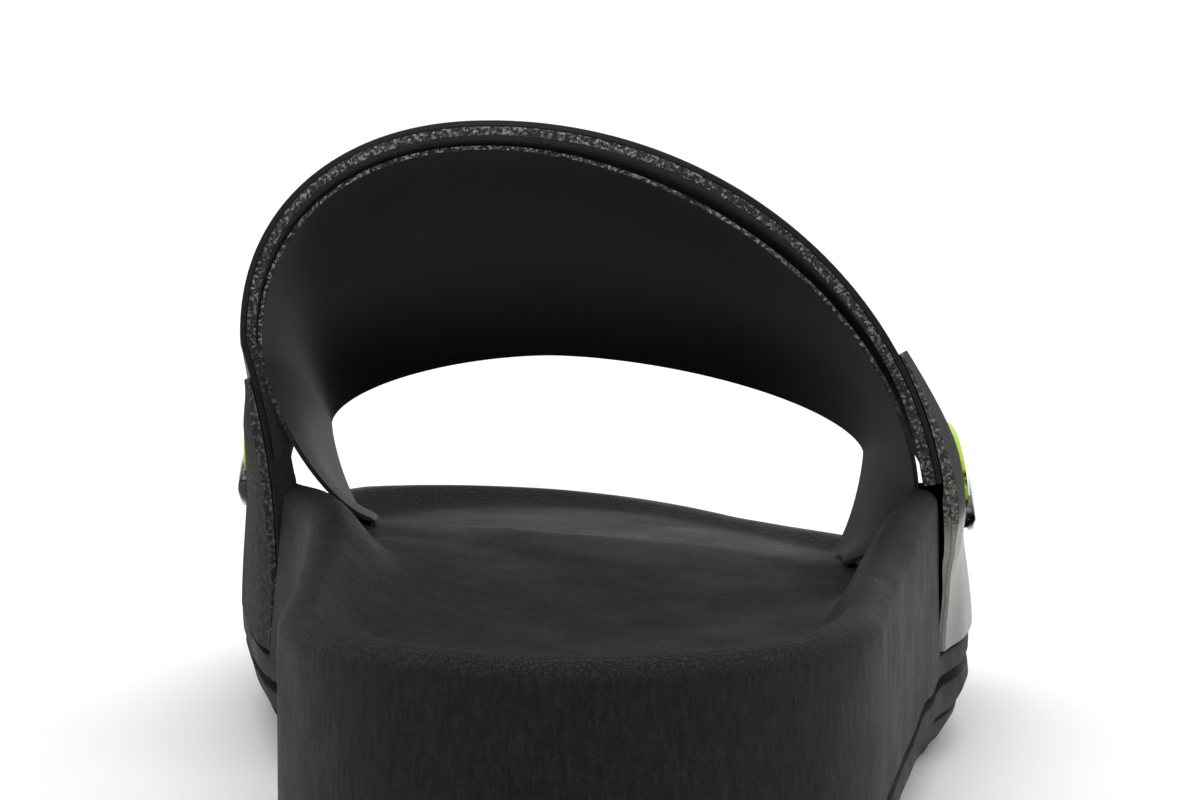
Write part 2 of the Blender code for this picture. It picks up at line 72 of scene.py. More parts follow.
# Plan of the sole: y is a share of the length, the rest shares of the ball width.
outline = table(
    "y axis medial lateral base",
    (0.000, -0.028, 0.314, 0.316, 0.100),
    (0.133, -0.028, 0.314, 0.318, 0.090),
    (0.246, -0.020, 0.322, 0.345, 0.095),
    (0.351, -0.010, 0.340, 0.377, 0.105),
    (0.439, 0.000, 0.382, 0.404, 0.085),
    (0.495, 0.000, 0.434, 0.426, 0.076),
    (0.544, 0.000, 0.460, 0.463, 0.080),
    (0.596, 0.000, 0.480, 0.484, 0.080),
    (0.667, -0.008, 0.497, 0.498, 0.080),
    (0.719, -0.014, 0.502, 0.505, 0.078),
    (0.828, -0.038, 0.506, 0.493, 0.075),
    (0.902, -0.061, 0.508, 0.468, 0.075),
    (1.000, -0.094, 0.510, 0.440, 0.080),
)

# Shares of the heel height: the wall's crest, the footbed's edges and middle, the crest's rounding.
rim = table(
    "y medial lateral bedMedial bedMiddle bedLateral round",
    (0.000, 1.000, 1.000, 0.870, 0.850, 0.870, 0.085),
    (0.050, 1.004, 1.004, 0.850, 0.790, 0.845, 0.085),
    (0.110, 1.010, 1.010, 0.820, 0.736, 0.800, 0.085),
    (0.180, 1.020, 1.013, 0.820, 0.722, 0.780, 0.085),
    (0.280, 1.060, 1.032, 0.875, 0.760, 0.790, 0.085),
    (0.386, 1.105, 1.085, 0.930, 0.833, 0.780, 0.080),
    (0.491, 1.090, 1.085, 0.952, 0.882, 0.765, 0.042),
    (0.579, 0.960, 0.945, 0.850, 0.792, 0.695, 0.022),
    (0.645, 0.830, 0.800, 0.715, 0.670, 0.625, 0.022),
    (0.702, 0.742, 0.700, 0.645, 0.611, 0.565, 0.022),
    (0.807, 0.705, 0.568, 0.597, 0.583, 0.500, 0.050),
    (0.895, 0.716, 0.565, 0.597, 0.585, 0.500, 0.060),
    (1.000, 0.712, 0.600, 0.635, 0.600, 0.550, 0.060),
)

# Underside: lift over the floor as a share of the heel height, and what is left of the band's height.
under = table(
    "y lift band",
    (0.000, 0.050, 1.00),
    (0.040, 0.000, 1.00),
    (0.320, 0.000, 1.00),
    (0.390, 0.034, 1.00),
    (0.450, 0.000, 1.00),
    (0.700, 0.000, 1.00),
    (0.800, 0.045, 0.92),
    (0.900, 0.130, 0.80),
    (1.000, 0.250, 0.66),
)

# Strap sections at its rear and its front edge: shares of the ball width across, of the crown's height up.
shellSections = table(
    "crown medial medialHigh medialRound lateral lateralHigh lateralRound",
    (-0.142, 0.311, 0.670, 2.2, 0.569, 0.341, 2.0),
    (-0.075, 0.407, 0.595, 2.3, 0.560, 0.505, 2.2),
)
liningSections = table(
    "crown medial medialHigh medialRound lateral lateralHigh lateralRound",
    (-0.142, 0.290, 0.660, 2.2, 0.533, 0.430, 1.8),
    (-0.080, 0.316, 0.745, 1.8, 0.450, 0.665, 1.65),
)

strap = {
    "shell": 0.0020,                 # whole thickness of the shell, of which skin is the outer layer
    "skin": 0.0008,
    "coat": 0.00010,                 # how far the skin's glaze stands over the face
    "lining": 0.0006,
    "drop": 0.0012,                  # open space between shell and lining at the crown
    "tab": 0.0050,                   # lining below the footbed
    "slotRear": (-0.296, 0.304),     # where the lining enters the footbed: medial, lateral
    "slotFront": (-0.318, 0.321),
    "edgeCrown": (0.439, 0.719),     # rear and front edge at the crown, shares of the length
    "edgeSweep": (0.056, 0.035),     # how far those edges lie forward at the band
    "sweepPower": 1.5,
    "legPower": 1.6,
    "liningSideRound": 1.5,
    "thickenFrom": 0.039,            # heights between which the shell's inside thickens downwards
    "thickenTo": 0.056,
    "thickenCore": 0.0004,           # by this much in the lateral core and this much in the medial backing
    "thickenPad": 0.0011,
    "touch": 0.0001,                 # overlap of layers that lie on each other
    "footOver": 0.25,                # the shell starts this share of its thickness over the wall's crest
    "legTop": 0.0430,                # upper end of the soft leg
    "legLow": 0.001,                 # its lower end over the socket's
    "legFree": 0.0004,               # what it leaves of the socket's depth
    "legRise": (-0.0022, -0.0002),   # heights from the crest over which it thickens
    "legSwell": 0.0005,              # its extra thickness, fading from legFade over the crest to its top
    "legFade": 0.0002,
    "recess": 0.013,                 # how far the leg's foot lies inside the outline, share of the ball width
    "wallSoft": 0.0004,              # rounding where the wall passes from the outline to the strap's face
    "inlay": (0.0024, 0.0006),       # the foam steps in over this stretch before the strap's edges
    # heights where the socket for the shell's foot opens, and its depth
    "socketMedial": (0.022, 0.034, 0.0021),
    "socketLateral": (0.0345, 0.0380, 0.0007),
    "shadowLine": (0.0165, 0.0180, 0.0003),    # the lateral panel stands off the foam by this much
}


def curve(tab, column, at):
    # monotone cubic through the rows: each slope is the harmonic mean of its neighbours' rises
    x, v = tab["y"], tab[column]
    rise = np.diff(v) / np.diff(x)
    slope = np.zeros_like(v)
    same = rise[:-1] * rise[1:] > 0
    slope[1:-1][same] = 2 * rise[:-1][same] * rise[1:][same] / (rise[:-1] + rise[1:])[same]
    slope[0], slope[-1] = rise[0], rise[-1]
    at = np.clip(at, x[0], x[-1])
    k = np.clip(np.searchsorted(x, at) - 1, 0, len(x) - 2)
    h = x[k + 1] - x[k]
    t = (at - x[k]) / h
    return ((1 + 2 * t) * (1 - t) ** 2 * v[k] + t * (1 - t) ** 2 * h * slope[k]
            + t * t * (3 - 2 * t) * v[k + 1] - t * t * (1 - t) * h * slope[k + 1])


def ramp(at, low, high):
    # 0 below low, 1 above high, 3t2 - 2t3 between
    t = np.clip((at - low) / (high - low), 0, 1)
    return t * t * (3 - 2 * t)


def between(pair, v):
    # straight line from a pair's first value to its second
    return pair[0] * (1 - v) + pair[1] * v


def endCap(y):
    # share of the half width left at y: a superellipse end at heel and toe
    heel = np.clip(1 - y / (shoe["heelCap"] * shoe["length"]), 0, 1)
    toe = np.clip((y / shoe["length"] - shoe["toeStart"]) / (1 - shoe["toeStart"]), 0, 1)
    return ((1 - heel ** shoe["heelPower"]) ** (1 / shoe["heelPower"])
            * (1 - toe ** shoe["toePower"]) ** (1 / shoe["toePower"]))


def axisX(y):
    # middle line of the sole in plan
    return shoe["ballWidth"] * curve(outline, "axis", y / shoe["length"])


def halfWidth(y, side):
    # distance of a side from the middle line, before the ends are rounded
    y = y / shoe["length"]
    return shoe["ballWidth"] * np.where(side < 0, curve(outline, "medial", y), curve(outline, "lateral", y))


def outlineX(y, side):
    # a side's place in plan, its ends rounded
    return axisX(y) + side * halfWidth(y, side) * endCap(y)


def liftOf(y):
    # height of the underside over the floor
    return shoe["heelHeight"] * curve(under, "lift", y / shoe["length"])


def bandLevel(y, share):
    # height at a share of the band, over the lifted underside
    return liftOf(y) + shoe["bandHeight"] * curve(under, "band", y / shoe["length"]) * share


def crestHeight(y, x):
    # height of the wall's top, passing from the medial to the lateral column across the toe and heel
    across = np.clip(shoe["crestTurn"] * (x - axisX(y)) / halfWidth(y, x - axisX(y)), -1, 1)
    w = (across + 1) / 2
    y = y / shoe["length"]
    return shoe["heelHeight"] * (curve(rim, "medial", y) * (1 - w) + curve(rim, "lateral", y) * w)


def bedHeight(x, y):
    # footbed: a parabola across, through the heights of both edges and the middle
    side = np.where(x < axisX(y), medial, lateral)
    share = y / shoe["length"]
    reach = halfWidth(y, side) - shoe["ballWidth"] * curve(outline, "base", share)
    q = np.clip((x - axisX(y)) / reach, -shoe["bedBeyond"], shoe["bedBeyond"])
    low, mid, high = (curve(rim, c, share) for c in ("bedMedial", "bedMiddle", "bedLateral"))
    return shoe["heelHeight"] * (mid + (high - low) / 2 * q + ((high + low) / 2 - mid) * q * q)


def crownHeight(v):
    # top line of the strap: a straight fall with a parabola on it
    return between((shoe["crownRear"], shoe["crownFront"]), v) + shoe["crownBow"] * 4 * v * (1 - v)


def edgeY(z, v):
    # place along the foot of a strap point: v from the rear to the front edge, lower points further forward
    band = shoe["bandHeight"]
    low = np.clip(1 - (z - band) / (crownHeight(np.clip(v, 0, 1)) - band), 0, 1.1)
    return shoe["length"] * (between(strap["edgeCrown"], v)
                             + between(strap["edgeSweep"], v) * low ** strap["sweepPower"])


def sideName(side):
    # the side as a word
    return "medial" if side < 0 else "lateral"


def sectionArc(sections, drop, side, s, v):
    # quarter superellipse from the strap's widest point (s 1) to its crown (s 2)
    name = sideName(side)
    top = crownHeight(v)
    zc = top * between(sections[name + "High"], v)
    n = between(sections[name + "Round"], v)
    t = np.clip(s - 1, 0, 1) * pi / 2
    x = shoe["ballWidth"] * (between(sections["crown"], v)
                             + side * between(sections[name], v) * np.cos(t) ** (2 / n))
    z = zc + (top - drop - zc) * np.sin(t) ** (2 / n)
    return x, z, zc


def shellFace(side, s, v):
    # outer face of the strap: a leg leaning out from the band (s 0) to the widest point (s 1), then the arc
    x, z, zc = sectionArc(shellSections, 0.0, side, s, v)
    leg = np.clip(s, -0.2, 1)
    zLeg = shoe["bandHeight"] + (zc - shoe["bandHeight"]) * leg
    y = edgeY(np.where(s < 1, zLeg, z), v)
    foot = outlineX(y, side) - side * shoe["ballWidth"] * strap["recess"]
    xLeg = foot + (x - foot) * np.sign(leg) * np.abs(leg) ** strap["legPower"]
    return np.stack((np.where(s < 1, xLeg, x), y, np.where(s < 1, zLeg, z)), -1)


def shareAtHeight(side, z, v):
    # the s at which the strap's outer face has height z
    name, band = sideName(side), shoe["bandHeight"]
    top = crownHeight(v)
    zc = top * between(shellSections[name + "High"], v)
    n = between(shellSections[name + "Round"], v)
    above = np.clip((z - zc) / (top - zc), 0, 1)
    return np.where(z < zc, (z - band) / (zc - band), 1 + np.arcsin(above ** (n / 2)) * 2 / pi)


def wallX(y, z, side):
    # wall over the band: the outline, and under the strap the soft lesser of it and the strap's face,
    # deeper by a socket where the shell's foot stands
    rear, front = edgeY(z, 0.0), edgeY(z, 1.0)
    v = np.clip((y - rear) / (front - rear), 0, 1)
    inside = np.where(side < 0, shellFace(medial, shareAtHeight(medial, z, v), v)[..., 0],
                      shellFace(lateral, shareAtHeight(lateral, z, v), v)[..., 0])
    lowM, highM, deepM = strap["socketMedial"]
    lowL, highL, deepL = strap["socketLateral"]
    lowS, highS, deepS = strap["shadowLine"]
    socket = np.where(side < 0, deepM * ramp(z, lowM, highM),
                      deepL * ramp(z, lowL, highL) + deepS * ramp(z, lowS, highS))
    plain = outlineX(y, side)
    far, near = strap["inlay"]
    mix = ramp(y, rear - far, rear - near) * (1 - ramp(y, front + near, front + far))
    more = side * (inside - plain) - socket - shoe["gap"] / 2
    return plain + side * mix * (more - np.sqrt(more * more + strap["wallSoft"] ** 2)) / 2


def loopStations(heel, middle, toe, close=()):
    # loop round the sole: heel tip, medial side, toe tip, lateral side; returns y, side and the half count.
    # close holds (from, to, count) of stretches that get stations of their own
    back = shoe["heelCap"] * (1 - np.cos(np.linspace(0, pi / 2, heel + 1)))
    front = shoe["toeStart"] + (1 - shoe["toeStart"]) * np.sin(np.linspace(0, pi / 2, toe + 1))
    y = np.concatenate((back, np.linspace(shoe["heelCap"], shoe["toeStart"], middle + 1)[1:], front[1:]))
    for low, high, many in close:
        y = np.concatenate((y[(y < low) | (y > high)], np.linspace(low, high, many)))
    y = shoe["length"] * np.sort(y)
    count = len(y) - 1
    return (np.concatenate((y, y[-2:0:-1])),
            np.concatenate((np.full(count + 1, medial), np.full(count - 1, lateral))), count)


def loopNormals(x, y):
    # plan normals of a closed loop, from the chord between each point's neighbours
    along = np.stack((np.roll(x, -1) - np.roll(x, 1), np.roll(y, -1) - np.roll(y, 1)), -1)
    along /= np.linalg.norm(along, axis=1, keepdims=True)
    return np.stack((-along[:, 1], along[:, 0]), -1)


def ring(x, y, out, z):
    # a loop moved out along its plan normals, at height z
    plan = np.stack((x, y), -1) + loopNormals(x, y) * np.broadcast_to(out, x.shape)[:, None]
    return np.column_stack((plan, np.broadcast_to(z, x.shape)))


def gridQuads(rows, cols, start=0, closed=False):
    # quads of a grid of points stored row by row; closed joins the last column to the first
    i, j = np.meshgrid(np.arange(rows - 1), np.arange(cols if closed else cols - 1), indexing="ij")
    k = (j + 1) % cols
    quads = np.stack((i * cols + j, i * cols + k, (i + 1) * cols + k, (i + 1) * cols + j), -1)
    return start + quads.reshape(-1, 4)


def place(points):
    # from the shape functions' coordinates to the frame's
    return points + shift


def addObject(name, data):
    # an object in the scene
    made = bpy.data.objects.new(name, data)
    bpy.context.scene.collection.objects.link(made)
    return made


def makePiece(name, solid, material, verts, faces, edges=0, smooth=40, edgeMaterial=None):
    # a mesh object that stands for a solid: doubles merged, faces pointing out; edges counts the last faces,
    # which may have a material of their own
    mesh = bpy.data.meshes.new(name)
    mesh.from_pydata(place(verts).tolist(), [], faces)
    if edgeMaterial:
        index = np.zeros(len(faces), dtype=np.int32)
        index[len(faces) - edges:] = 1
        mesh.polygons.foreach_set("material_index", index)
    bm = bmesh.new()
    bm.from_mesh(mesh)
    bmesh.ops.remove_doubles(bm, verts=bm.verts, dist=1e-6)
    bmesh.ops.recalc_face_normals(bm, faces=bm.faces)
    bm.to_mesh(mesh)
    bm.free()
    mesh.shade_smooth()
    mesh.set_sharp_from_angle(angle=radians(smooth))
    mesh.materials.append(material)
    if edgeMaterial:
        mesh.materials.append(edgeMaterial)
    piece = addObject(name, mesh)
    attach(piece, "root")
    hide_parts(solid)
    return piece


def filledLoop(rings, count, columns, height, lowFill, lowColumns=2):
    # closed body: rings from bottom to top, filled below and above by grids between the two sides
    n = rings.shape[1]
    verts = [rings.reshape(-1, 3)]
    faces = gridQuads(len(rings), n, closed=True).tolist()
    total = len(rings) * n
    for loop, cols, z in ((rings[0], lowColumns, lowFill), (rings[-1], columns, height)):
        w = np.linspace(0, 1, cols + 1)[None, :, None]
        a, b = loop[1:count][:, None], loop[:count:-1][:, None]
        grid = a * (1 - w) + b * w
        grid[:, 1:-1, 2] = z(grid[:, 1:-1, 0], grid[:, 1:-1, 1])
        verts.append(grid.reshape(-1, 3))
        faces += gridQuads(count - 1, cols + 1, total).tolist()
        j = np.arange(cols)
        last = total + (count - 2) * (cols + 1)
        verts.append(loop[[0, count]])
        total += (count - 1) * (cols + 1)
        faces += np.stack((np.full(cols, total), total - (count - 1) * (cols + 1) + j,
                           total - (count - 1) * (cols + 1) + j + 1), -1).tolist()
        faces += np.stack((np.full(cols, total + 1), last + j + 1, last + j), -1).tolist()
        total += 2
    return np.concatenate(verts), faces


def gridNormals(face):
    # unit normals of a grid of points, from its differences along and across
    n = np.cross(np.gradient(face, axis=0), np.gradient(face, axis=1))
    return n / np.linalg.norm(n, axis=2, keepdims=True)


def slabBody(face, normal, inner, outer):
    # closed sheet between a grid moved by inner and by outer along its normals
    rows, cols = face.shape[:2]
    verts = np.concatenate(((face + normal * outer).reshape(-1, 3), (face + normal * inner).reshape(-1, 3)))
    back = rows * cols
    quads = gridQuads(rows, cols)
    edge = np.concatenate((np.arange(cols), np.arange(1, rows) * cols + cols - 1,
                           (rows - 1) * cols + np.arange(cols - 2, -1, -1),
                           np.arange(rows - 2, 0, -1) * cols))
    after = np.roll(edge, -1)
    rimQuads = np.stack((edge, back + edge, back + after, after), -1)
    return verts, np.concatenate((quads, back + quads[:, ::-1], rimQuads)).tolist(), len(rimQuads)


def outwardNormals(face, side):
    # grid normals, turned to the side at the grid's middle
    n = gridNormals(face)
    return n if n[n.shape[0] // 2, n.shape[1] // 2, 0] * side > 0 else -n


def upwardNormals(face, row):
    # grid normals, turned up at the middle of a row
    n = gridNormals(face)
    return n if n[row, n.shape[1] // 2, 2] > 0 else -n


def roundEdges(piece, width, segments=2):
    # a bevel where faces meet at more than 50 degrees
    bevel = piece.modifiers.new("softEdge", "BEVEL")
    bevel.width = width
    bevel.segments = segments
    bevel.limit_method = "ANGLE"
    bevel.angle_limit = radians(50)
    bevel.use_clamp_overlap = True
    return piece


# Materials.

def linear(hexColour):
    # sRGB hex to linear light
    c = np.array([int(hexColour[i:i + 2], 16) for i in (1, 3, 5)]) / 255
    c = np.where(c <= 0.04045, c / 12.92, ((c + 0.055) / 1.055) ** 2.4)
    return (*c.tolist(), 1.0)


def node(tree, kind, links=None, **settings):
    # one node with its settings; keys that name an input set its value, links give (input, from socket)
    made = tree.nodes.new(kind)
    for key, value in settings.items():
        name = key.replace("_", " ")
        if name in made.inputs.keys():
            made.inputs[name].default_value = value
        else:
            setattr(made, key, value)
    for target, source in (links or {}).items():
        tree.links.new(source, made.inputs[target])
    return made


def remap(tree, value, low, high, toLow=0.0, toHigh=1.0, smooth=False):
    # low..high of a value to toLow..toHigh, in a straight line or, if smooth, as ramp does
    made = node(tree, "ShaderNodeMapRange", {"Value": value},
                interpolation_type="SMOOTHSTEP" if smooth else "LINEAR")
    for key, number in zip(("From Min", "From Max", "To Min", "To Max"), (low, high, toLow, toHigh)):
        made.inputs[key].default_value = number
    return made.outputs["Result"]


def blend(tree, share, first, second):
    # the first colour where share is 0, the second where it is 1; each a hex colour or a socket
    made = node(tree, "ShaderNodeMix", {"Factor": share}, data_type="RGBA")
    for k, colour in ((6, first), (7, second)):
        if isinstance(colour, str):
            made.inputs[k].default_value = linear(colour)
        else:
            tree.links.new(colour, made.inputs[k])
    return made.outputs[2]


def timesPlus(tree, first, factor, second):
    # first times factor, plus second
    made = node(tree, "ShaderNodeMath", operation="MULTIPLY_ADD")
    tree.links.new(first, made.inputs[0])
    made.inputs[1].default_value = factor
    tree.links.new(second, made.inputs[2])
    return made.outputs["Value"]


def noise(tree, coords, scale, detail, rough=0.5):
    # value of a noise texture
    made = node(tree, "ShaderNodeTexNoise", {"Vector": coords}, Scale=scale, Detail=detail, Roughness=rough)
    return made.outputs["Fac"]


def relief(tree, bsdf, height, strength, distance):
    # the shader's normal follows a height
    bump = node(tree, "ShaderNodeBump", {"Height": height}, Strength=strength, Distance=distance)
    tree.links.new(bump.outputs["Normal"], bsdf.inputs["Normal"])


def newMaterial(name, colour, rough, **shader):
    # shader holds further inputs and their values
    mat = bpy.data.materials.new(name)
    mat.use_nodes = True
    bsdf = mat.node_tree.nodes["Principled BSDF"]
    bsdf.inputs["Base Color"].default_value = linear(colour)
    bsdf.inputs["Roughness"].default_value = rough
    for key, value in shader.items():
        bsdf.inputs[key.replace("_", " ")].default_value = value
    return mat, mat.node_tree, bsdf


grainFit = {
    "cellStretch": (1.0, 0.5, 1.0),    # pebbles are twice as long along the shoe
    "creaseFloor": 0.3,                # height at the bottom of a crease, of 1
    "strokeSpan": (0.28, 0.72),        # part of the streak noise that is used
    "streakTopWallShade": 0.44,                 # height of the streaks, of 1, which also paints shade on the upright walls: they come out darker than the footbed
    "flatFrom": (0.15, 0.7),           # upward share of the normal over which pebbles take over
}


def grainMaterial(name, look):
    # embossed grain: height = pebbles or streaks + fine noise. Pebbles are cells with creases at their edges,
    # warped by noise; where the face stands upright a noise stretched by drawn takes over
    mat, tree, bsdf = newMaterial(name, look["colour"], look["rough"], Specular_IOR_Level=look["specular"])
    coords = node(tree, "ShaderNodeTexCoord").outputs["Object"]
    warp = node(tree, "ShaderNodeTexNoise", {"Vector": coords}, Scale=0.5 / look["grain"], Detail=2.0)
    bent = node(tree, "ShaderNodeVectorMath", operation="MULTIPLY_ADD")
    tree.links.new(warp.outputs["Color"], bent.inputs[0])
    bent.inputs[1].default_value = (look["grain"] * look["warp"],) * 3
    tree.links.new(coords, bent.inputs[2])
    long = node(tree, "ShaderNodeMapping", {"Vector": bent.outputs["Vector"]}, Scale=grainFit["cellStretch"])
    cells = node(tree, "ShaderNodeTexVoronoi", {"Vector": long.outputs["Vector"]},
                 feature="DISTANCE_TO_EDGE", Scale=1 / look["grain"])
    pebbles = remap(tree, cells.outputs["Distance"], 0.0, look["crease"], grainFit["creaseFloor"],
                    smooth=True)
    drawn = node(tree, "ShaderNodeMapping", {"Vector": coords}, Scale=look["drawn"])
    strokes = noise(tree, drawn.outputs["Vector"], look["strokes"], 3.0, 0.6)
    streaks = remap(tree, strokes, *grainFit["strokeSpan"], 0.0, grainFit["streakTopWallShade"])
    facing = node(tree, "ShaderNodeNewGeometry").outputs["Normal"]
    upright = node(tree, "ShaderNodeSeparateXYZ", {"Vector": facing})
    flat = node(tree, "ShaderNodeMath", operation="ABSOLUTE")
    tree.links.new(upright.outputs["Z"], flat.inputs[0])
    flatness = remap(tree, flat.outputs["Value"], *grainFit["flatFrom"], smooth=True)
    mixed = node(tree, "ShaderNodeMix", {"Factor": flatness})
    tree.links.new(streaks, mixed.inputs[2])
    tree.links.new(pebbles, mixed.inputs[3])
    fine = noise(tree, coords, 2.5 / look["grain"], 3.0, 0.65)
    height = timesPlus(tree, fine, look["fine"], mixed.outputs[0])
    relief(tree, bsdf, height, look["bump"], look["depth"])
    # the colour follows the height: painted shade in the creases and painted light on the high spots; the
    # streaks' low top also paints the upright walls darker than the footbed
    tone = remap(tree, height, *(look["fine"] * 0.5 + share for share in look["tones"]))
    # low on the side overlays the colour passes into a paler one: painted reflection and painted highlight
    pale = look["colour"]
    if "low" in look:
        at = node(tree, "ShaderNodeSeparateXYZ", {"Vector": coords})
        up = remap(tree, at.outputs["Z"], look["low"]["from"], look["low"]["to"], smooth=True)
        pale = blend(tree, up, look["low"]["colour"], pale)
    tree.links.new(blend(tree, tone, look["creaseShade"], pale), bsdf.inputs["Base Color"])
    # patches of polish and dust, about 2 cm across
    patches = noise(tree, coords, 60.0, 4.0, 0.7)
    rough = remap(tree, patches, 0.3, 0.7, look["rough"] - look["patchy"], look["rough"] + look["patchy"])
    if "low" in look:
        polish = node(tree, "ShaderNodeMix", {"Factor": up, "B": rough})
        polish.inputs[2].default_value = look["low"]["rough"]
        rough = polish.outputs[0]
    tree.links.new(rough, bsdf.inputs["Roughness"])
    return mat


# Moulded EVA foam with a leather-like grain: soft pebbles on the footbed, streaks on the walls.
mouldedFoam = {
    "colour": "#2e2a2f", "creaseShade": "#0b0a0b", "rough": 0.55, "specular": 0.16, "patchy": 0.10,
    "grain": 0.00055, "warp": 1.8, "strokes": 1800.0, "drawn": (1.0, 0.22, 0.25),
    "crease": 0.25, "fine": 1.1, "bump": 1.0, "depth": 0.0006, "tones": (0.05, 0.75),
}
# Carbon-black rubber: a finer, flatter grain, slightly duller.
soleRubber = {
    "colour": "#262326", "creaseShade": "#0e0d0e", "rough": 0.62, "specular": 0.15, "patchy": 0.08,
    "grain": 0.0007, "warp": 1.4, "strokes": 1700.0, "drawn": (1.0, 0.4, 0.5), "crease": 0.3, "fine": 0.8,
    "bump": 0.4, "depth": 0.00012, "tones": (0.0, 0.8),
}
# Polyurethane-coated synthetic leather, rolled: small soft pebbles with a satin top coat.
strapSkin = {
    "colour": "#201c21", "creaseShade": "#0f0d10", "rough": 0.5, "specular": 0.2, "patchy": 0.06,
    "grain": 0.0007, "warp": 1.2, "strokes": 1700.0, "drawn": (1.0, 1.0, 1.0), "crease": 0.3, "fine": 0.7,
    "bump": 0.5, "depth": 0.00012, "tones": (0.0, 0.8),
}
# The same coating on the side overlays: matt on the medial one, glossy low on the lateral one; low on both
# the colour is paler, painted reflection on the medial one and a painted highlight on the lateral one.
panelSkin = {
    "colour": "#1f1c1c", "creaseShade": "#0c0b0b", "rough": 0.7, "specular": 0.08, "patchy": 0.05,
    "grain": 0.0008, "warp": 1.2, "strokes": 1500.0, "drawn": (1.0, 0.4, 0.8), "crease": 0.35, "fine": 0.8,
    "bump": 1.0, "depth": 0.0004, "tones": (0.12, 0.65),
    "low": {"colour": "#4a4643", "rough": 0.66, "from": 0.040, "to": 0.052},    # painted reflection: paler below, and matt
}
polishedSkin = {
    **panelSkin, "colour": "#121010", "rough": 0.8, "specular": 0.4, "bump": 0.5, "depth": 0.0002,
    "low": {"colour": "#2c2929", "rough": 0.24, "from": 0.033, "to": 0.037},    # knocks polish it below, where its colour is paler too: a painted highlight
}


# Share of the fibre ends' tones left under a cut edge's painted highlight, and where dark, middle and pale
# ends lie.
boardFit = {"left": 0.25, "stops": (0.35, 0.7, 0.98)}


def cutBoardMaterial(name, dark, middleTone, pale, unshaded=None, highlightBelow=None):
    # cut edge of pressed fibre board: dark with pale fibre ends, rough and dry. The first option holds a
    # range
    # across and one up: the ends are painted dark, as shade, but where one of them is passed. The second
    # holds
    # a colour and two heights: from the upper to the lower the edge passes into that painted highlight
    mat, tree, bsdf = newMaterial(name, middleTone, 0.85, Specular_IOR_Level=0.3)
    coords = node(tree, "ShaderNodeTexCoord").outputs["Object"]
    specks = node(tree, "ShaderNodeTexVoronoi", {"Vector": coords}, Scale=3200.0)
    pick = node(tree, "ShaderNodeSeparateColor", {"Color": specks.outputs["Color"]})
    ramped = node(tree, "ShaderNodeValToRGB", {"Fac": pick.outputs["Red"]})
    stops = ramped.color_ramp.elements
    stops[0].position, stops[0].color = boardFit["stops"][0], linear(dark)
    stops[1].position, stops[1].color = boardFit["stops"][2], linear(pale)
    stops.new(boardFit["stops"][1]).color = linear(middleTone)
    shade = ramped.outputs["Color"]
    if unshaded or highlightBelow:
        at = node(tree, "ShaderNodeSeparateXYZ", {"Vector": coords})
    if unshaded:
        either = node(tree, "ShaderNodeMath", operation="MAXIMUM")
        for k, (axis, span) in enumerate(zip(("X", "Z"), unshaded)):
            tree.links.new(remap(tree, at.outputs[axis], *span), either.inputs[k])
        shade = blend(tree, either.outputs["Value"], dark, shade)
    if highlightBelow:
        highlit = remap(tree, at.outputs["Z"], *highlightBelow[1:], boardFit["left"], smooth=True)
        shade = blend(tree, highlit, highlightBelow[0], shade)
    tree.links.new(shade, bsdf.inputs["Base Color"])
    relief(tree, bsdf, noise(tree, coords, 2400.0, 3.0), 0.7, 0.0002)
    return mat


def knitMaterial():
    # brushed knit inside the shell: dull, dark, with a short pile
    mat, tree, bsdf = newMaterial("brushedKnitBacking", "#1b191a", 0.9, Specular_IOR_Level=0.15,
                                  Sheen_Weight=0.1)
    coords = node(tree, "ShaderNodeTexCoord").outputs["Object"]
    pile = noise(tree, coords, 1500.0, 4.0)
    relief(tree, bsdf, pile, 0.8, 0.0003)
    tree.links.new(blend(tree, pile, "#131112", "#262324"), bsdf.inputs["Base Color"])
    return mat


# painted light and shade on the lining: heights, and the colours below and above them; alongCrown and across
# hold places along and across the foot
liningTones = {
    "medial": (0.034, 0.056, "#433e43", "#1c181d"),
    "lateral": (0.034, 0.050, "#151216", "#2e2a2f"),
    "crown": (0.047, 0.065),
    "alongCrown": (-0.010, 0.030, "#332e34", "#5f5860"),
    "across": (-0.03, 0.03),              # from the medial to the lateral colours
    "rough": (-0.03, 0.04, 0.55, 0.66),   # places across, and the roughness there
}


def liningMaterial():
    # calendered nylon lining: nearly smooth, satin, with a weave too fine to see but as a faint ripple
    mat, tree, bsdf = newMaterial("satinLining", "#262127", 0.55, Specular_IOR_Level=0.16)
    coords = node(tree, "ShaderNodeTexCoord").outputs["Object"]
    soft, fine = (noise(tree, coords, scale, 2.0) for scale in (90.0, 2600.0))
    relief(tree, bsdf, timesPlus(tree, soft, 3.0, fine), 0.25, 0.0001)
    # painted light and shade: paler under the crown, more so towards the toe, and low on the medial side;
    # darker low on the lateral side
    at = node(tree, "ShaderNodeSeparateXYZ", {"Vector": coords}).outputs

    def passing(axis, low, high, first, second):
        # one colour below low on the axis, the other above high
        return blend(tree, remap(tree, at[axis], low, high, smooth=True), first, second)

    sides = passing("X", *liningTones["across"], passing("Z", *liningTones["medial"]),
                    passing("Z", *liningTones["lateral"]))
    shade = passing("Z", *liningTones["crown"], sides, passing("Y", *liningTones["alongCrown"]))
    tree.links.new(shade, bsdf.inputs["Base Color"])
    tree.links.new(remap(tree, at["X"], *liningTones["rough"], smooth=True), bsdf.inputs["Roughness"])
    return mat


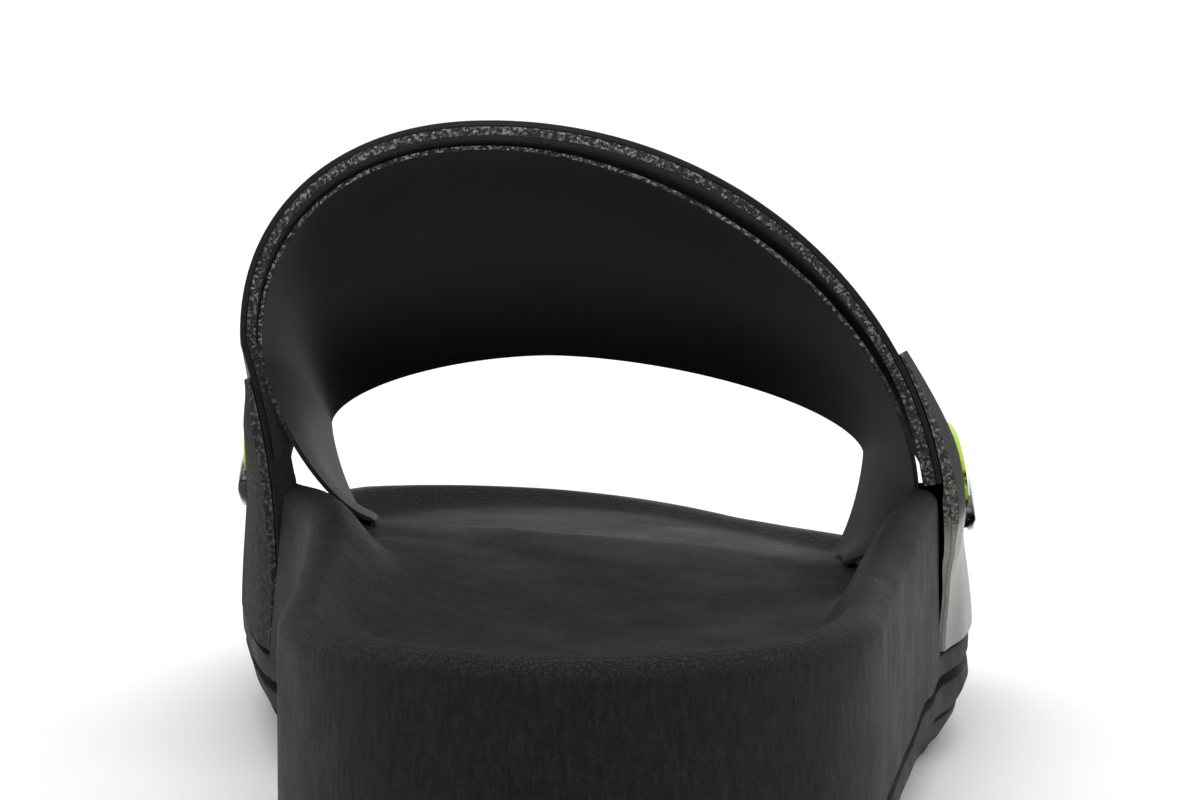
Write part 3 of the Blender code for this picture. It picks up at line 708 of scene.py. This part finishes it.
def plainMaterial(name, colour, rough, bumpScale, **shader):
    # moulded plastic: flat colour with a faint flow ripple
    mat, tree, bsdf = newMaterial(name, colour, rough, **shader)
    coords = node(tree, "ShaderNodeTexCoord").outputs["Object"]
    ripple = noise(tree, coords, bumpScale, 2.0)
    relief(tree, bsdf, ripple, 0.15, 0.0001)
    spread = remap(tree, ripple, 0.0, 1.0, max(rough - 0.05, 0.02), rough + 0.05)
    tree.links.new(spread, bsdf.inputs["Roughness"])
    return mat


foam = grainMaterial("mouldedEvaFoam", mouldedFoam)
rubber = grainMaterial("carbonBlackRubber", soleRubber)
skin = grainMaterial("coatedSyntheticLeather", strapSkin)
panelCoats = {"medial": grainMaterial("mattCoatedOverlay", panelSkin),
              "lateral": grainMaterial("polishedOverlay", polishedSkin)}
# the core's cut edge is painted dark low on the medial side, as shade
fibre = cutBoardMaterial("cutFibreBoard", "#201d1e", "#454341", "#827f7a", ((-0.02, 0.0), (0.050, 0.064)))
# the medial board is a darker copy of the lateral one, painted shade; the lateral one is painted pale low
# down, a painted highlight
rawBoards = {"medial": cutBoardMaterial("shadedPanelBoard", "#2a2826", "#474441", "#686460"),
             "lateral": cutBoardMaterial("cutPanelBoard", "#353231", "#5c5956", "#8b8782",
                                         highlightBelow=("#aaa79f", 0.031, 0.036))}
satin = liningMaterial()
knit = knitMaterial()
# the lining's cut edge is painted dark low down, as shade, and shows its pale ends only high up
cutLining = cutBoardMaterial("cutNylonEdge", "#161415", "#4a4748", "#8f8c8b",
                             ((1.0, 1.1), (0.045, 0.066)))
limePlastic = plainMaterial("limeAbsPlate", "#b7e02a", 0.4, 400.0)
glossPlastic = plainMaterial("glossBlackAbs", "#0f0f10", 0.16, 300.0, Coat_Weight=0.5, Coat_Roughness=0.08)
print("scene: materials made")


# Sole.

# Side of the sole, bottom to top: height and step out, shares of the band height.
outsoleSide = table(
    "level medial lateral",
    (0.000, -0.480, -0.350),
    (0.015, -0.440, -0.320),
    (0.070, -0.400, -0.300),
    (0.150, -0.330, -0.210),
    (0.306, -0.240, -0.110),
    (0.370, -0.170, -0.095),
    (0.388, -0.160, -0.110),
)
bandSide = table(
    "level medial lateral",
    (0.412, -0.200, -0.110),
    (0.425, -0.170, -0.075),
    (0.500, -0.105, -0.030),
    (0.581, -0.060, 0.000),
    (0.690, -0.030, -0.010),
    (0.703, -0.034, -0.016),
    (0.722, -0.100, -0.090),
    (0.735, -0.112, -0.102),
    (0.768, -0.110, -0.102),
    (0.780, -0.098, -0.090),
    (0.803, -0.016, -0.012),
    (0.816, -0.008, -0.004),
    (0.900, -0.002, 0.000),
    (0.965, 0.000, 0.000),
    (0.985, -0.006, -0.006),
)
tread = {
    # grooves, shares of the length
    "across": (0.07, 0.14, 0.21, 0.28, 0.47, 0.53, 0.59, 0.65, 0.77, 0.83, 0.89),
    "width": 0.003,
    "depth": 0.0022,
    "along": 0.15,            # lengthwise grooves, share of the ball width from the middle
    "alongReach": ((0.035, 0.31), (0.46, 0.69)),
    "fineSpacing": 0.0024,    # fine zigzag cuts
    "fineDepth": 0.0004,
    "shoulder": (0.42, 0.58),    # side of a groove, shares of its width from its middle
    "alongDepth": 0.9,           # lengthwise grooves, share of the others' depth
    "zigzag": (0.4, 0.012),      # slope of the fine cuts and half their wave
    "fineSide": (0.72, 0.9),     # side of a fine cut, share of the way between two
}
bed = {"crestIn": 0.033, "columns": 60, "steps": 16, "probe": 0.001, "clear": 0.0002}
# Where foam and rubber meet: height and step in, shares of the band height.
seat = {"foam": 0.40, "foamIn": 0.26, "rubber": 0.388, "rubberIn": 0.2}
# Stations round the heel, along the middle and round the toe, with more at the strap's edges.
stations = {"foam": (28, 84, 54, ((0.452, 0.503, 60), (0.712, 0.765, 40))), "rubber": (40, 190, 90)}


def sideRings(x, y, side, tab):
    # rings of the sole's side; round heel and toe the step passes from one column to the other
    w = ((x - axisX(y)) / halfWidth(y, side) + 1) / 2
    return [ring(x, y, shoe["bandHeight"] * (m * (1 - w) + o * w), bandLevel(y, level))
            for level, m, o in zip(*tab.values())]


def treadHeight(x, y):
    # underside: its lift plus square-shouldered grooves, and shallow zigzag cuts between them
    share = y / shoe["length"]
    cut = np.zeros_like(x)
    low, high = (tread["width"] * edge for edge in tread["shoulder"])
    for start in tread["across"]:
        d = np.abs(y - shoe["length"] * start - tread["width"] / 2)
        cut = np.maximum(cut, 1 - ramp(d, low, high))
    for a, b in tread["alongReach"]:
        d = np.abs(np.abs(x + shift[0]) - shoe["ballWidth"] * tread["along"])
        inside = (share > a) & (share < b)
        cut = np.maximum(cut, np.where(inside, tread["alongDepth"] * (1 - ramp(d, low, high)), 0))
    slope, wave = tread["zigzag"]
    zigzag = np.abs((y + slope * np.abs((x / wave) % 2 - 1) * wave) / tread["fineSpacing"] % 1 - 0.5) * 2
    fine = tread["fineDepth"] * ramp(zigzag, *tread["fineSide"]) * (1 - cut)
    return liftOf(y) + tread["depth"] * cut + fine


boxLow = np.array(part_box("midsole")[0])
y, side, count = loopStations(*stations["foam"])
x = outlineX(y, side)
# The frame's origin lies at the middle of the footprint: the midsole's box says by how much.
shift = np.array((boxLow[0] - x.min(), boxLow[1] - y.min(), 0.0))

rings = [ring(x, y, -shoe["bandHeight"] * seat["foamIn"], bandLevel(y, seat["foam"]))]
rings += sideRings(x, y, side, bandSide)
ledge = bandLevel(y, 1.0)
top = crestHeight(y, x)
fillet = shoe["heelHeight"] * curve(rim, "round", y / shoe["length"])


def wallRing(out, z):
    # the outline's own ring, moved across to the wall
    points = ring(x, y, out, z)
    points[:, 0] += wallX(y, z, side) - x
    return points


rings += [wallRing(0.0, ledge + (top - fillet - ledge) * w) for w in np.linspace(0, 1, 25)]
rings += [wallRing(-fillet * (1 - np.cos(a)), top - fillet * (1 - np.sin(a)))
          for a in np.linspace(0, pi / 2, 7)[1:]]
# the crest lies inside the wall's top wherever the socket moves that in
taken = np.abs(wallX(y, top, side) - x) + fillet + bed["clear"]
crestIn = np.maximum(shoe["ballWidth"] * bed["crestIn"], taken)
base = shoe["ballWidth"] * curve(outline, "base", y / shoe["length"])
inner = ring(x, y, -base, top)
foot = bedHeight(inner[:, 0], inner[:, 1])
# a Hermite curve runs down from the crest, level, and meets the footbed along its own slope
further = ring(x, y, -base - bed["probe"], top)
fall = (bedHeight(further[:, 0], further[:, 1]) - foot) / bed["probe"] * (base - crestIn)
rings += [ring(x, y, -(crestIn + (base - crestIn) * w),
               top + (foot - top) * w * w * (3 - 2 * w) + fall * w * w * (w - 1))
          for w in np.linspace(0, 1, bed["steps"])]
verts, faces = filledLoop(np.array(rings), count, bed["columns"], bedHeight,
                          lambda x, y: bandLevel(y, seat["foam"]))
midsole = makePiece("mouldedMidsole", "midsole", foam, verts, faces, smooth=35)
print("scene: midsole", len(midsole.data.polygons))

y, side, count = loopStations(*stations["rubber"])
x = outlineX(y, side)
rings = sideRings(x, y, side, outsoleSide)
rings.append(ring(x, y, -shoe["bandHeight"] * seat["rubberIn"], bandLevel(y, seat["rubber"])))
verts, faces = filledLoop(np.array(rings), count, 2, lambda x, y: bandLevel(y, seat["rubber"]),
                          treadHeight, 110)
outsole = makePiece("treadedOutsole", "outsole", rubber, verts, faces, smooth=30)
print("scene: outsole", len(outsole.data.polygons))


# Strap.

fineness = {"along": 48, "shell": 70, "leg": 60, "liningLow": 20, "liningHigh": 50, "panel": 44}
softEdges = {"skin": 0.00025, "core": 0.0001, "lining": 0.0002, "coat": 0.0004, "plate": 0.00015,
             "badge": 0.0003}


def bothSides(rowsMedial, rowsLateral):
    # medial rows up to the crown, lateral ones down from it
    return np.concatenate((rowsMedial, rowsLateral[::-1][1:]))


def shellSide(side, v, rows):
    # from just over the wall's crest up to the crown
    z = np.full_like(v, shoe["heelHeight"])
    for _ in range(8):
        z = crestHeight(edgeY(z, v), outlineX(edgeY(z, v), side)) + shoe["gap"]
        z = z + strap["shell"] * strap["footOver"]
    low = shareAtHeight(side, z, v)
    w = np.linspace(0, 1, rows + 1)[:, None]
    return shellFace(side, low + (2 - low) * w, np.broadcast_to(v, (rows + 1, len(v))))


def liningFoot(v, side):
    # where the lining meets the footbed, on its outer face
    pick = 0 if side < 0 else 1
    x = shoe["ballWidth"] * between((strap["slotRear"][pick], strap["slotFront"][pick]), v)
    z = np.full_like(v, shoe["heelHeight"] * 0.8)
    for _ in range(6):
        z = bedHeight(x, edgeY(z, v))
    return np.stack((x, edgeY(z, v), z), -1)


def liningSide(side, v, low, high):
    # a straight tab in the footbed, an arc out to the widest point, an arc to the crown
    foot = liningFoot(v, side)
    tab = foot[None] - np.array((0.0, 0.0, strap["tab"])) * np.array((1.0, 0.4))[:, None, None]
    foot = foot + np.array((0.0, 0.0, shoe["gap"] * 2))
    drop = strap["shell"] + strap["drop"]
    xc, zc, _ = sectionArc(liningSections, drop, side, np.ones_like(v), v)
    t = np.linspace(0, pi / 2, low + 1)[:-1, None]
    power = 2 / strap["liningSideRound"]
    x = foot[:, 0] + (xc - foot[:, 0]) * np.sin(t) ** power
    z = zc - (zc - foot[:, 2]) * np.cos(t) ** power
    lowArc = np.stack((x, edgeY(z, v), z), -1)
    s = np.linspace(1, 2, high + 1)[:, None]
    x, z, _ = sectionArc(liningSections, drop, side, np.broadcast_to(s, (high + 1, len(v))), v)
    return np.concatenate((tab, lowArc, np.stack((x, edgeY(z, v), z), -1)))


v = np.linspace(0, 1, fineness["along"] + 1)
rows = fineness["shell"]
face = bothSides(shellSide(medial, v, rows), shellSide(lateral, v, rows))
normal = upwardNormals(face, rows)
skinSheet = makePiece("strapSkin", "upper", skin, *slabBody(face, normal, -strap["skin"], strap["coat"]))
roundEdges(skinSheet, softEdges["skin"])
# the core and the soft backing inside it thicken towards the foot, more on the medial side
height = face[:, :, 2:3]
toFoot = 1 - ramp(height, strap["thickenFrom"], strap["thickenTo"])
onMedial = np.arange(len(face))[:, None, None] < rows
inside = -strap["shell"] - np.where(onMedial, 0.0, strap["thickenCore"]) * toFoot
core = makePiece("strapCore", "upper", fibre, *slabBody(face, normal, inside, -strap["skin"]))
roundEdges(core, softEdges["core"], 1)
pad = strap["touch"] + np.where(onMedial, strap["thickenPad"], 0.0) * toFoot
backing = makePiece("strapBacking", "upper", knit, *slabBody(face, normal, inside - pad, inside))

# on the medial side the soft backing runs on down into the foam's socket and fills it; it presses a little
# into the foam's rounded crest
low, high, deep = strap["socketMedial"]
z = np.linspace(low + strap["legLow"], strap["legTop"], fineness["leg"])[:, None]
face = shellFace(medial, shareAtHeight(medial, z, v), np.broadcast_to(v, (len(z), len(v))))
overCrest = crestHeight(face[:, :, 1], face[:, :, 0])[:, :, None]
height = face[:, :, 2:3]
depth = np.maximum(deep * ramp(height, low, high) - strap["legFree"], strap["touch"])
overIt = ramp(height, *(overCrest + rise for rise in strap["legRise"]))
swell = overIt * (1 - ramp(height, overCrest + strap["legFade"], strap["legTop"]))
depth += strap["thickenPad"] * overIt + strap["legSwell"] * swell
leg = makePiece("strapLegMedial", "upper", knit,
                *slabBody(face, outwardNormals(face, medial), -depth, -strap["touch"]))

face = bothSides(liningSide(medial, v, fineness["liningLow"], fineness["liningHigh"]),
                 liningSide(lateral, v, fineness["liningLow"], fineness["liningHigh"]))
normal = upwardNormals(face, len(face) // 2)
lining = makePiece("strapLining", "strap_lining", satin, *slabBody(face, normal, -strap["lining"], 0.0),
                   smooth=60, edgeMaterial=cutLining)
roundEdges(lining, softEdges["lining"])
print("scene: strap and lining")


# Side panels and badges.

panelShape = {
    "stand": 0.00025,                 # the board's distance from the shell
    "board": 0.00075,                 # raw board under the coat
    "thick": (0.0015, 0.0019),        # both together, medial and lateral
    "pad": (0.0, 0.0008),             # padding under the coat behind and over the badge
    "padFrom": (0.0, 0.2),            # where it rises, share of the way to the front edge
    "padBelow": (0.026, 0.036),       # heights over which it comes and goes
    "padAbove": (0.058, 0.072),
    "rearLift": (0.0, 0.0007),        # how far the rear edge curls off the foam
    "liftBelow": (0.022, 0.030),      # from this height down
    "tuck": (0.0, 0.0005),            # how far the board reaches in at its rear edge, under the strap's foot
    "tuckFrom": (0.025, 0.030),
    "tuckTo": (0.0365, 0.0400),
    "topMedial": (0.89, 1.25),        # top edge at its rear and front end, as strap shares
    "topLateral": (1.31, 1.36),
    "skive": 0.18,                    # share of its height over which the top edge thins out
    "skived": 0.25,
    "rearSkive": 0.10,                # the same along its rear edge, below the wall's crest
    "rearSkived": 0.55,
    "rearBelow": 0.85,                # share of the heel height up to which that edge is fully thinned
}
badgeShape = {
    "back": 0.42, "front": 0.90,            # shares of the way from the strap's rear to its front edge
    "medial": (0.0322, 0.0396, 0.0446),     # heights of the badge's lower and upper edge and the plate's top
    "lateral": (0.0280, 0.0348, 0.0420),
    "raise": (0.0, 0.0002),                 # how much higher the pair stands, medial and lateral
    "backing": 0.0005, "thick": 0.0010,
    "plateIn": -0.02,                       # the plate is shorter by this share at each end
    "endPower": 0.6, "endHigh": 0.04,       # rounding of the ends, and their height as a share
    "crown": (0.25, 0.98, 1.2),             # the face: height left at its edge, reach, height in the middle
}


def panelFace(side, v, rows):
    # the strap's outer face from just over the band up to the panel's top
    z = np.full_like(v, shoe["bandHeight"])
    for _ in range(4):
        z = bandLevel(edgeY(z, v), 1.0) + shoe["gap"] * 1.5
    low = shareAtHeight(side, z, v)
    high = between(panelShape["topMedial"] if side < 0 else panelShape["topLateral"], v)
    w = np.linspace(0, 1, rows + 1)[:, None]
    return shellFace(side, low + (high - low) * w, np.broadcast_to(v, (rows + 1, len(v))))


def lozengeFace(side, low, high, grow):
    # part of the strap's face between two heights, its ends rounded
    a = np.linspace(0, 1, 49)
    v = between((badgeShape["back"] - grow, badgeShape["front"] + grow), (1 - np.cos(a * pi)) / 2)
    bulge = np.sin(a * pi) ** badgeShape["endPower"] * (1 - badgeShape["endHigh"]) + badgeShape["endHigh"]
    z = (low + high) / 2 + (high - low) / 2 * np.linspace(-1, 1, 25)[:, None] * bulge
    return shellFace(side, shareAtHeight(side, z, v), np.broadcast_to(v, z.shape))


for side in (medial, lateral):
    name = sideName(side)
    rows = fineness["panel"]
    face = panelFace(side, v, rows)
    normal = outwardNormals(face, side)
    thin = 1 - (1 - panelShape["skived"]) * ramp(np.linspace(0, 1, rows + 1), 1 - panelShape["skive"], 1)
    height = face[:, :, 2:3]
    below = 1 - ramp(height, shoe["heelHeight"] * panelShape["rearBelow"], shoe["heelHeight"])
    atRear = (1 - ramp(v, 0, panelShape["rearSkive"]))[None, :, None]
    thin = thin[:, None, None] * (1 - (1 - panelShape["rearSkived"]) * below * atRear)
    pick = 0 if side < 0 else 1
    lifted = panelShape["rearLift"][pick] * (1 - ramp(height, *panelShape["liftBelow"])) * atRear
    padding = (panelShape["pad"][pick] * ramp(v, *panelShape["padFrom"])[None, :, None]
               * ramp(height, *panelShape["padBelow"]) * (1 - ramp(height, *panelShape["padAbove"])))
    tucked = (panelShape["tuck"][pick] * ramp(height, *panelShape["tuckFrom"])
              * (1 - ramp(height, *panelShape["tuckTo"])) * atRear)
    inner = panelShape["stand"] + lifted - tucked
    middle = panelShape["stand"] + (panelShape["board"] - panelShape["stand"]) * thin + lifted
    thick = panelShape["thick"][pick]
    outer = panelShape["stand"] + (thick - panelShape["stand"]) * thin + lifted + padding
    board = makePiece("panelBoard" + name.capitalize(), "side_panel_" + name, rawBoards[name],
                      *slabBody(face, normal, inner, middle))
    coat = makePiece("panelCoat" + name.capitalize(), "side_panel_" + name, panelCoats[name],
                     *slabBody(face, normal, middle, outer), edgeMaterial=rawBoards[name])
    roundEdges(coat, softEdges["coat"], 3)
    low, high, plateTop = badgeShape[name]
    pocket = thick + panelShape["pad"][pick] - badgeShape["backing"] / 2
    stand = pocket + badgeShape["raise"][pick]
    face = lozengeFace(side, (low + high) / 2, plateTop, badgeShape["plateIn"])
    plate = makePiece("limePlate" + name.capitalize(), "badge_backing_" + name, limePlastic,
                      *slabBody(face, outwardNormals(face, side), pocket, stand + badgeShape["backing"]))
    roundEdges(plate, softEdges["plate"])
    face = lozengeFace(side, low, high, 0.0)
    # the badge is crowned: its face falls off towards its edges as a quarter circle does
    t = np.linspace(-1, 1, face.shape[0])[:, None, None]
    left, reach, rise = badgeShape["crown"]
    crowned = left + (1 - left) * np.sqrt(1 - (reach * t) ** 2)
    start = stand + badgeShape["backing"] / 2
    badge = makePiece("plainBadge" + name.capitalize(), "badge_" + name, glossPlastic,
                      *slabBody(face, outwardNormals(face, side), pocket + badgeShape["backing"] / 2,
                                start + badgeShape["thick"] * rise * crowned))
    roundEdges(badge, softEdges["badge"], 3)
print("scene: panels and badges")


# Stage, light and camera.

studio = {"floor": "#fafaf8", "backdrop": "#ffffff", "room": 0.35, "floorReach": 12.0}
lamps = {
    "ceiling": {"kind": "SUN", "power": 1.6, "spread": 110.0, "at": (0.0, -0.001, 1.0)},
    "rearCeiling": {"kind": "SUN", "power": 1.3, "spread": 60.0, "at": (0.0, -0.7, 1.0)},
    "rightWindow": {"kind": "AREA", "power": 0.8, "at": (1.1, 0.1, 0.5), "size": (0.7, 0.7)},
    "farWindow": {"kind": "SUN", "power": 0.2, "spread": 26.0, "at": (0.1, 1.6, 0.33)},
}
cameraAt = {"back": 0.400, "high": 0.095, "down": 4.715, "left": 0.0991, "lens": 121.41}

floorMesh = bpy.data.meshes.new("floor")
r = studio["floorReach"]
floorMesh.from_pydata([(-r, -r, 0), (r, -r, 0), (r, r, 0), (-r, r, 0)], [], [(0, 1, 2, 3)])
floor = addObject("floor", floorMesh)
paper, _, _ = newMaterial("whitePaper", studio["floor"], 0.9)
floorMesh.materials.append(paper)

# The backdrop is plain white to the camera and lights the shoe only by the share room; the lamps do the rest.
world = bpy.data.worlds.new("studio")
bpy.context.scene.world = world
world.use_nodes = True
tree = world.node_tree
background = tree.nodes["Background"]
background.inputs["Color"].default_value = linear(studio["backdrop"])
seen = node(tree, "ShaderNodeLightPath").outputs["Is Camera Ray"]
tree.links.new(remap(tree, seen, 0.0, 1.0, studio["room"]), background.inputs["Strength"])


def addLamp(name, kind, power, at=(0.0, 0.0, 1.0), aim=(0.0, 0.0, 0.03), size=(1.0, 1.0), spread=0.0):
    # a soft sun or a rectangular window, turned from its place to its aim
    data = bpy.data.lights.new(name, kind)
    data.energy = power
    if kind == "SUN":
        data.angle = radians(spread)
    else:
        data.shape = "RECTANGLE"
        data.size, data.size_y = size
    lamp = addObject(name, data)
    lamp.location = at
    along = np.array(aim) - np.array(at)
    lamp.rotation_euler = Euler((pi / 2 + atan2(along[2], np.hypot(along[0], along[1])), 0.0,
                                 -atan2(along[0], along[1])))


for name, lamp in lamps.items():
    addLamp(name, **lamp)

cameraData = bpy.data.cameras.new("camera")
cameraData.sensor_width = 36.0
cameraData.lens = cameraAt["lens"]
camera = addObject("camera", cameraData)
camera.location = place(np.array((0.0, -cameraAt["back"], cameraAt["high"]))).tolist()
camera.rotation_euler = Euler((radians(90 - cameraAt["down"]), 0.0, radians(cameraAt["left"])))
bpy.context.scene.camera = camera
bpy.context.scene.view_settings.view_transform = "Standard"

print("scene: done")
